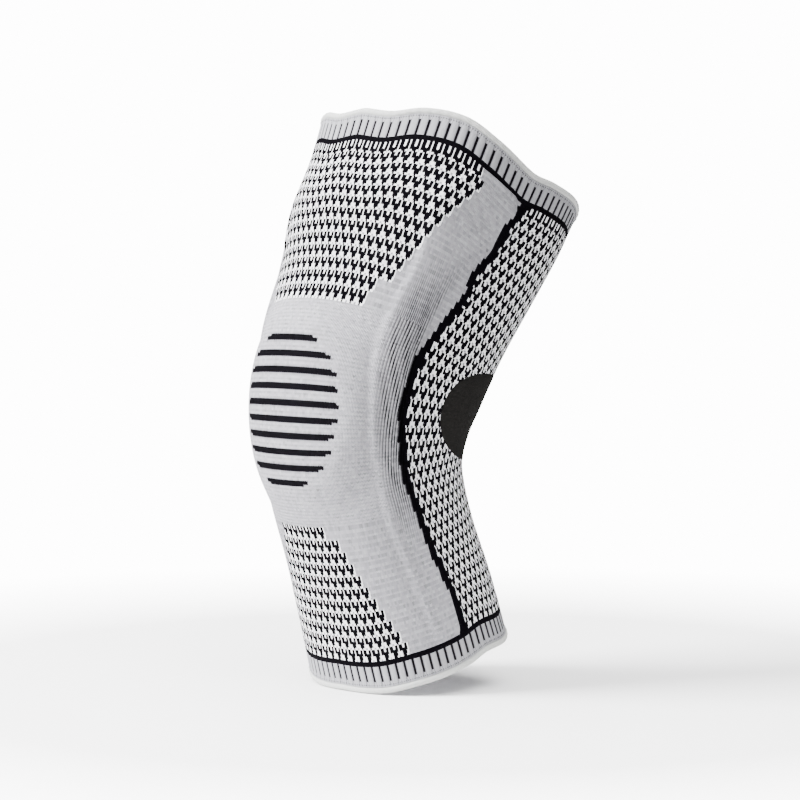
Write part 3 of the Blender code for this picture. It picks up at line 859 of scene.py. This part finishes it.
def makeCuff(name, ribs, seam, hem, replaced, finish):
    perRib = cuff["perRib"]
    rows = cuff["rows"]
    columns = ribs * perRib
    turn = np.arange(columns + 1) * 360.0 / columns
    share = np.linspace(seam, hem, rows + 1)
    fromHem = np.abs(share - hem) * length
    fromSeam = np.abs(share - seam) * length
    phase = (np.arange(columns + 1) % perRib) / perRib
    ribTop = np.abs(np.sin(math.pi * phase)) ** cuff["ribRound"]
    fade = ease((fromSeam - cuff["lineHeight"] * 0.6) / cuff["seamEase"]) * ease(fromHem / cuff["hemEase"])
    depth = cuff["ribDepth"] * (1 - ribTop[None, :]) * fade[:, None] - cuff["proud"]
    placed = np.broadcast_to(share[:, None], depth.shape)
    turns = np.broadcast_to(turn[None, :], depth.shape)
    points = skin(waved(placed, turns), turns, depth)
    midHem = (fromHem[1:] + fromHem[:-1]) / 2
    midSeam = (fromSeam[1:] + fromSeam[:-1]) / 2
    level, column = np.meshgrid(np.arange(rows), np.arange(columns) % perRib, indexing="ij")
    colours = np.broadcast_to(hexLinear(cuff["rib"]), (rows, columns, 3)).copy()
    # painted shade: the faces on each flank of a rib's valley, beside the black line, take a darker grey
    colours[(column == 2) | (column == perRib - 2)] = hexLinear(cuff["shade"])
    lineRows = midHem[level] > cuff["dotsHeight"] + cuff["plainTop"]
    colours[((column < 2) | (column == perRib - 1)) & lineRows] = hexLinear(cuff["line"])
    dotRows = (midHem[level] < cuff["dotsHeight"]) & (midHem[level] > cuff["dotsFrom"])
    colours[dotRows & (column % 3 == 0)] = hexLinear(cuff["dots"])
    colours[midSeam[level] < cuff["lineHeight"]] = hexLinear(cuff["line"])
    colours = np.clip(colours * (1 + cuff["mottle"] * random.standard_normal((rows, columns, 1))), 0, 1)
    uv = np.stack(np.meshgrid(np.arange(columns + 1) / 2.5, np.arange(rows + 1.0)), -1)
    inner = skin(waved(placed[::4, ::6], turns[::4, ::6]), turns[::4, ::6], cuff["wall"])
    innerUv = np.stack(np.meshgrid(np.arange(inner.shape[1]) * 2.0, np.arange(inner.shape[0]) * 4.0), -1)
    quads = gridFaces(rows + 1, columns + 1)
    innerQuads = gridFaces(inner.shape[0], inner.shape[1])
    if hem < seam:
        quads = quads[..., ::-1]
    else:
        innerQuads = innerQuads[..., ::-1]
    innerTone = np.broadcast_to(hexLinear(cuff["inside"]), (*innerQuads.shape[:2], 3))
    grids = [(points, quads, colours, uv, None), (inner, innerQuads, innerTone, innerUv, None)]
    knitPiece(name, grids, finish, [replaced])


ribFinish = knitMaterial("ribbed_cuff_knit", 0.9, 0.0, 0.0003, 0.10)
hemShare = brace["hemHeight"] / length
makeCuff("thigh_cuff_knit", cuff["thighRibs"], 1 - cuffShare, 1 - hemShare, "thigh_cuff", ribFinish)
makeCuff("calf_cuff_knit", cuff["calfRibs"], cuffShare, hemShare, "calf_cuff", ribFinish)

# Rolled hems: a soft roll of plain knit, drawn in a little at each rib
hem = {
    "colour": "#b4b5b3",
    "mottle": 0.03,
    "height": 0.0037,
    "thickness": 0.0033,
    "sides": 16,
    "perRib": 6,  # faces along one rib
    "draw": 0.00012,
}


def makeHem(name, ribs, middle, replaced, finish):
    columns = ribs * hem["perRib"]
    turn = np.arange(columns + 1) * 360.0 / columns
    way = 2 * math.pi * np.arange(hem["sides"] + 1) / hem["sides"]
    drawn = hem["draw"] * np.cos(2 * math.pi * np.arange(columns + 1) / hem["perRib"])
    up = (hem["height"] / 2 * np.sin(way))[:, None] / length
    depth = brace["wall"] / 2 - (hem["thickness"] / 2 - drawn[None, :]) * np.cos(way)[:, None]
    turns = np.broadcast_to(turn[None, :], depth.shape)
    points = skin(waved(middle, turns) + up, turns, depth)
    colours = unevenTone(hem["colour"], hem["mottle"], (hem["sides"], columns), 0.95)
    uv = np.stack(np.meshgrid(np.arange(columns + 1) / 1.5, np.arange(hem["sides"] + 1) / 2), -1)
    grid = (points, gridFaces(hem["sides"] + 1, columns + 1), colours, uv, None)
    knitPiece(name, [grid], finish, [replaced])


hemFinish = knitMaterial("rolled_hem_knit", 0.88, 0.05, 0.0002, 0.05)
makeHem("thigh_hem_roll", cuff["thighRibs"], 1 - hemShare / 2, "thigh_hem", hemFinish)
makeHem("calf_hem_roll", cuff["calfRibs"], hemShare / 2, "calf_hem", hemFinish)
print("cuffs and hems")


# Gel ring: milky silicone, its light scatters inside, with a soft gloss and faint waves from the mould
def makeRing():
    steps = ring["steps"]
    places, depths = zip(*(ringSection + ringSection[:1]))
    fine = np.linspace(0, len(ringSection), ring["sectionSteps"] + 1)
    closed = np.arange(len(ringSection) + 1)
    across = np.interp(fine, closed, places)
    deep = np.interp(fine, closed, depths)
    for smoothing in range(2):
        across[:-1] = (np.roll(across[:-1], 1) + 2 * across[:-1] + np.roll(across[:-1], -1)) / 4
        deep[:-1] = (np.roll(deep[:-1], 1) + 2 * deep[:-1] + np.roll(deep[:-1], -1)) / 4
    ways = 2 * math.pi * np.arange(steps) / steps
    points = []
    for place, down in zip(across[:-1], deep[:-1]):
        halfWidth = (ring["hole"][0] + (ring["size"][0] - ring["hole"][0]) * place) / 2
        halfHeight = (ring["hole"][1] + (ring["size"][1] - ring["hole"][1]) * place) / 2
        share = shareAboveRing(halfHeight * np.sin(ways))
        turn = turnFor(ring["centre"], halfWidth * np.cos(ways))
        points.append(skin(share, turn, brace["wall"] + ring["seatGap"] + down * ring["thickness"]))
    faces = gridFaces(len(points) + 1, steps, closed=True).reshape(-1, 4) % (len(points) * steps)
    made, tree, shader = newMaterial("milky_silicone_gel", Base_Color=rgba(ring["gel"]), IOR=1.41)
    shader.inputs["Transmission Weight"].default_value = 0.35
    shader.inputs["Subsurface Weight"].default_value = 0.4
    shader.inputs["Subsurface Radius"].default_value = (0.01, 0.009, 0.01)
    shader.inputs["Subsurface Scale"].default_value = 0.6
    waves = addGrain(tree, shader, 140.0, 3.0, ring["roughness"])  # about 7 mm from wave to wave
    addBump(tree, shader, waves, 0.0004, 0.4)
    turnOut(addMesh("gel_ring", points, faces, made, ["patella_ring"]))


def turnOut(piece):
    shell = bmesh.new()
    shell.from_mesh(piece.data)
    bmesh.ops.recalc_face_normals(shell, faces=shell.faces)
    shell.to_mesh(piece.data)
    shell.free()


# Point under the knit, by its distance across from the middle of a stay. Side is 1 for left and -1 for right.
def stayPoint(side, share, across, deep):
    turn = side * (through(stayLine, 1, share) + turnFor(share, across))
    return skin(share, turn, brace["wall"] + stay["seatGap"] + deep)


# Drawn spring steel and pressed rivet metal: bright, with fine scuffs that spread the gloss
def metalMaterial(name, colour, scale, detail, roughness):
    made, tree, shader = newMaterial(name, Base_Color=rgba(colour), Metallic=1.0)
    addGrain(tree, shader, scale, detail, roughness)
    return made


# Moulded polypropylene: light passes a little way in, and the skin is faintly grained
def plasticMaterial(name, colour, clear):
    made, tree, shader = newMaterial(name, Base_Color=rgba(colour), IOR=1.49, Transmission_Weight=clear)
    shader.inputs["Subsurface Weight"].default_value = 0.3
    shader.inputs["Subsurface Radius"].default_value = (0.003, 0.003, 0.003)
    grain = addGrain(tree, shader, 1500.0, 2.0, (0.34, 0.5))
    addBump(tree, shader, grain, 0.0001, 0.3)
    return made


def sweepTube(path, radius, sides):
    ahead = np.gradient(path, axis=0)
    ahead /= np.linalg.norm(ahead, axis=1, keepdims=True)
    aside = np.cross(ahead, np.array([0.0, 0.0, 1.0]))
    aside /= np.linalg.norm(aside, axis=1, keepdims=True)
    over = np.cross(aside, ahead)
    way = 2 * math.pi * np.arange(sides) / sides
    rings = path[:, None, :] + radius * (
        np.cos(way)[None, :, None] * aside[:, None, :] + np.sin(way)[None, :, None] * over[:, None, :]
    )
    return rings, gridFaces(len(path), sides, closed=True)


# Flat spiral spring: two flattened coils of wire wound into each other
def makeSpring(name, side, finish):
    low = capEnd + stay["springGap"] / length
    high = loopEnd - stay["springGap"] / length
    turns = round((high - low) * length / stay["springPitch"])
    points = []
    faces = []
    start = 0
    for hand in (1, -1):
        way = np.linspace(0, 2 * math.pi * turns, turns * stay["stepsPerCoil"] + 1)
        share = low + (high - low) * way / way[-1]
        across = (stay["springWidth"] / 2 - stay["wire"] / 2) * np.cos(way * hand)
        middle = stay["springThickness"] / 2
        deep = middle + (middle - stay["wire"] / 2) * np.sin(way * hand + (0 if hand > 0 else math.pi))
        rings, quads = sweepTube(stayPoint(side, share, across, deep), stay["wire"] / 2, stay["wireSides"])
        points.append(rings.reshape(-1, 3))
        faces.append(quads.reshape(-1, 4) + start)
        start += rings.reshape(-1, 3).shape[0]
    coils = np.concatenate(points)
    addMesh(name + "_wire", coils, np.concatenate(faces), finish, [name])


# A plate under the knit with rounded edges: rows of places from one edge to the other
def plateFrom(rows, side, thickness, bevel):
    profile = [(0.0, 0.5), (0.25, 0.12), (1.0, 0.0)]  # inset as a share of the bevel, depth of the thickness
    under = [(inset, 1 - deep) for inset, deep in profile[1:]]
    corners = [(-1, *corner) for corner in profile] + [(1, *corner) for corner in reversed(profile)]
    corners += [(1, *corner) for corner in under] + [(-1, *corner) for corner in reversed(under)]
    grid = []
    for share, low, high in rows:
        middle = (low + high) / 2
        half = (high - low) / 2
        edge = min(bevel, half)
        loop = [(share, middle + way * (half - inset * edge), deep * thickness) for way, inset, deep in corners]
        grid.append(loop)
    grid = np.array(grid)
    points = stayPoint(side, grid[..., 0], grid[..., 1], grid[..., 2])
    count = grid.shape[1]
    faces = gridFaces(grid.shape[0], count, closed=True).reshape(-1, 4).tolist()
    faces.append(list(range(count))[::-1])
    faces.append(list(range((grid.shape[0] - 1) * count, grid.shape[0] * count)))
    return points.reshape(-1, 3), faces


def joinParts(parts):
    points = []
    faces = []
    for part, quads in parts:
        start = sum(len(other) for other in points)
        faces.extend([corner + start for corner in face] for face in quads)
        points.append(part)
    return np.concatenate(points), faces


def makeLoop(name, side, finish):
    holeWide, holeTall = stay["loopHole"]
    seam = stay["loopSeam"]
    crownShares = np.linspace(eyeTop + seam / length, stayTop, 12)
    neckShares = np.linspace(loopEnd, eyeTop - holeTall / length - seam / length, 26)
    heights = np.cos(np.linspace(math.pi, 0, 41))
    eyeShares = eyeMiddle + heights * (holeTall / 2 + seam) / length
    eyeHalf = np.sqrt(np.clip(1 - heights**2, 0, 1)) * holeWide / 2
    plates = []
    for plateShares in (crownShares, neckShares):
        plates.append([(share, -loopHalfWidth(share), loopHalfWidth(share)) for share in plateShares])
    for way in (-1, 1):
        edges = zip(eyeShares, eyeHalf, loopHalfWidth(eyeShares))
        plates.append([(share, *sorted((way * inside, way * outside))) for share, inside, outside in edges])
    parts = [plateFrom(rows, side, stay["loopThickness"], stay["loopBevel"]) for rows in plates]
    points, faces = joinParts(parts)
    turnOut(addMesh(name + "_plate", points, faces, finish, [name]))


def makeCap(name, side, finish):
    rows = []
    for share in np.linspace(stayBottom, capEnd, 40):
        near = min(share - stayBottom, capEnd - share) * length
        halfWidth = stay["capWidth"] / 2 * (1 - stay["capTaper"] * (1 - ease(near / stay["capRound"])))
        rows.append((share, -halfWidth, halfWidth))
    points, faces = plateFrom(rows, side, stay["capThickness"], stay["capBevel"])
    turnOut(addMesh(name + "_tab", points, faces, finish, [name]))


# Radius and height of a rivet head, from its middle out
rivetOutline = ((0.0, 0.0011), (0.0009, 0.0010), (0.00155, 0.0006), (0.0018, 0.0), (0.0018, -0.0004))


# Rivet head on the inner face of a loop or cap
def makeRivet(name, side, share, thickness, replaced, finish):
    sides = 24
    way = 2 * math.pi * np.arange(sides) / sides
    points = []
    for radius, rise in rivetOutline:
        around = share + radius * np.sin(way) / length
        points.append(stayPoint(side, around, radius * np.cos(way), thickness + rise))
    quads = gridFaces(len(rivetOutline), sides, closed=True).reshape(-1, 4)
    turnOut(addMesh(name, np.concatenate(points), quads, finish, [replaced]))


def makeStay(prefix, side):
    spring, loop, cap = (f"{prefix}_stay_{part}" for part in ("spring", "loop", "cap"))
    makeSpring(spring, side, steelFinish)
    makeLoop(loop, side, plasticFinish)
    makeCap(cap, side, capFinish)
    loopDrop = stay["loopHoleDrop"] + stay["loopHole"][1] + stay["loopRivetDrop"]
    makeRivet(f"{prefix}_loop_rivet", side, stayTop - loopDrop / length, stay["loopThickness"], loop, rivetFinish)
    capRivet = capEnd - stay["capRivetDrop"] / length
    makeRivet(f"{prefix}_cap_rivet", side, capRivet, stay["capThickness"], cap, rivetFinish)


makeRing()
steelFinish = metalMaterial("drawn_spring_steel", stay["steel"], 900.0, 3.0, (0.22, 0.42))
plasticFinish = plasticMaterial("natural_loop_plastic", stay["plastic"], 0.25)
capFinish = plasticMaterial("grey_cap_plastic", stay["capPlastic"], 0.05)
rivetFinish = metalMaterial("dull_rivet_metal", stay["rivet"], 2200.0, 2.0, (0.3, 0.55))
makeStay("right", -1)
makeStay("left", 1)
print("gel ring and stays")

# Stage: pale floor just under the calf rim and soft light from all round. A lamp has its place, size and watts.
stage = {
    "floor": (0.0, 0.05, -0.1420),
    "reach": 0.55,
    "paper": "#fafafa",
    "backdrop": 14.0,
    "room": 0.46,
    "lamps": (
        ("key_softbox", (-1.0, -1.75, 1.15), 1.2, 350.0),
        ("top_softbox", (0.0, 0.0, 2.2), 3.0, 175.0),
        ("side_softbox", (1.3, -0.5, 1.5), 1.0, 30.0),
    ),
}


def makeStage():
    mesh = bpy.data.meshes.new("paper_floor")
    reach = stage["reach"]
    corners = [(-reach, -reach, 0.0), (reach, -reach, 0.0), (reach, reach, 0.0), (-reach, reach, 0.0)]
    mesh.from_pydata(corners, [], [(0, 1, 2, 3)])
    made, tree, shader = newMaterial("white_paper", Base_Color=rgba(stage["paper"]), Roughness=0.9)
    # The paper fades into the white backdrop all round, so it shows no edge
    spots = addNode(tree, "ShaderNodeTexCoord")
    away = addNode(tree, "ShaderNodeVectorMath", {0: spots.outputs["Object"]}, operation="LENGTH")
    span = {"Value": away.outputs["Value"], "From Min": reach * 0.5, "From Max": reach}
    fade = addNode(tree, "ShaderNodeMapRange", span)
    shown = addNode(tree, "ShaderNodeMath", {0: 1.0, 1: fade.outputs["Result"]}, operation="SUBTRACT")
    tree.links.new(shown.outputs[0], shader.inputs["Alpha"])
    mesh.materials.append(made)
    floor = bpy.data.objects.new("paper_floor", mesh)
    floor.location = stage["floor"]
    scene.collection.objects.link(floor)
    world = bpy.data.worlds.new("white_studio")
    world.use_nodes = True
    sky = world.node_tree
    white = (1.0, 1.0, 1.0, 1.0)
    room = sky.nodes["Background"]
    room.inputs["Color"].default_value = white
    room.inputs["Strength"].default_value = stage["room"]
    # The white backdrop is lit by itself: it is seen brighter than the light that it gives the brace
    backdrop = addNode(sky, "ShaderNodeBackground", {"Color": white, "Strength": stage["backdrop"]})
    seen = addNode(sky, "ShaderNodeLightPath")
    mix = {0: seen.outputs["Is Camera Ray"], 1: room.outputs["Background"], 2: backdrop.outputs["Background"]}
    mixed = addNode(sky, "ShaderNodeMixShader", mix)
    sky.links.new(mixed.outputs["Shader"], sky.nodes["World Output"].inputs["Surface"])
    scene.world = world


def addLight(name, place, size, power):
    light = bpy.data.lights.new(name, "AREA")
    light.size = size
    light.energy = power
    lamp = bpy.data.objects.new(name, light)
    lamp.location = place
    lamp.rotation_euler = (-Vector(place)).to_track_quat("-Z", "Y").to_euler()
    scene.collection.objects.link(lamp)


# Camera that matches the photo. Origin is where the part's own origin lies in the picture, in pixels.
camera = {
    "azimuth": 47.0,
    "elevation": 3.5,
    "distance": 1.5,
    "lens": 127.79,
    "sensor": 36.0,
    "picture": 800,
    "origin": (360.8, 421.3),
}


def makeCamera():
    data = bpy.data.cameras.new("photo_camera")
    data.lens = camera["lens"]
    data.sensor_width = camera["sensor"]
    across, down = camera["origin"]
    data.shift_x = (camera["picture"] / 2 - across) / camera["picture"]
    data.shift_y = (down - camera["picture"] / 2) / camera["picture"]
    eye = bpy.data.objects.new("photo_camera", data)
    azimuth = math.radians(camera["azimuth"])
    elevation = math.radians(camera["elevation"])
    level = math.cos(elevation)
    way = Vector((math.sin(azimuth) * level, -math.cos(azimuth) * level, math.sin(elevation)))
    eye.location = way * camera["distance"]
    eye.rotation_euler = (-way).to_track_quat("-Z", "Y").to_euler()
    scene.collection.objects.link(eye)
    scene.camera = eye


makeStage()
for name, place, size, power in stage["lamps"]:
    addLight(name, place, size, power)
makeCamera()
print("stage, lights and camera")
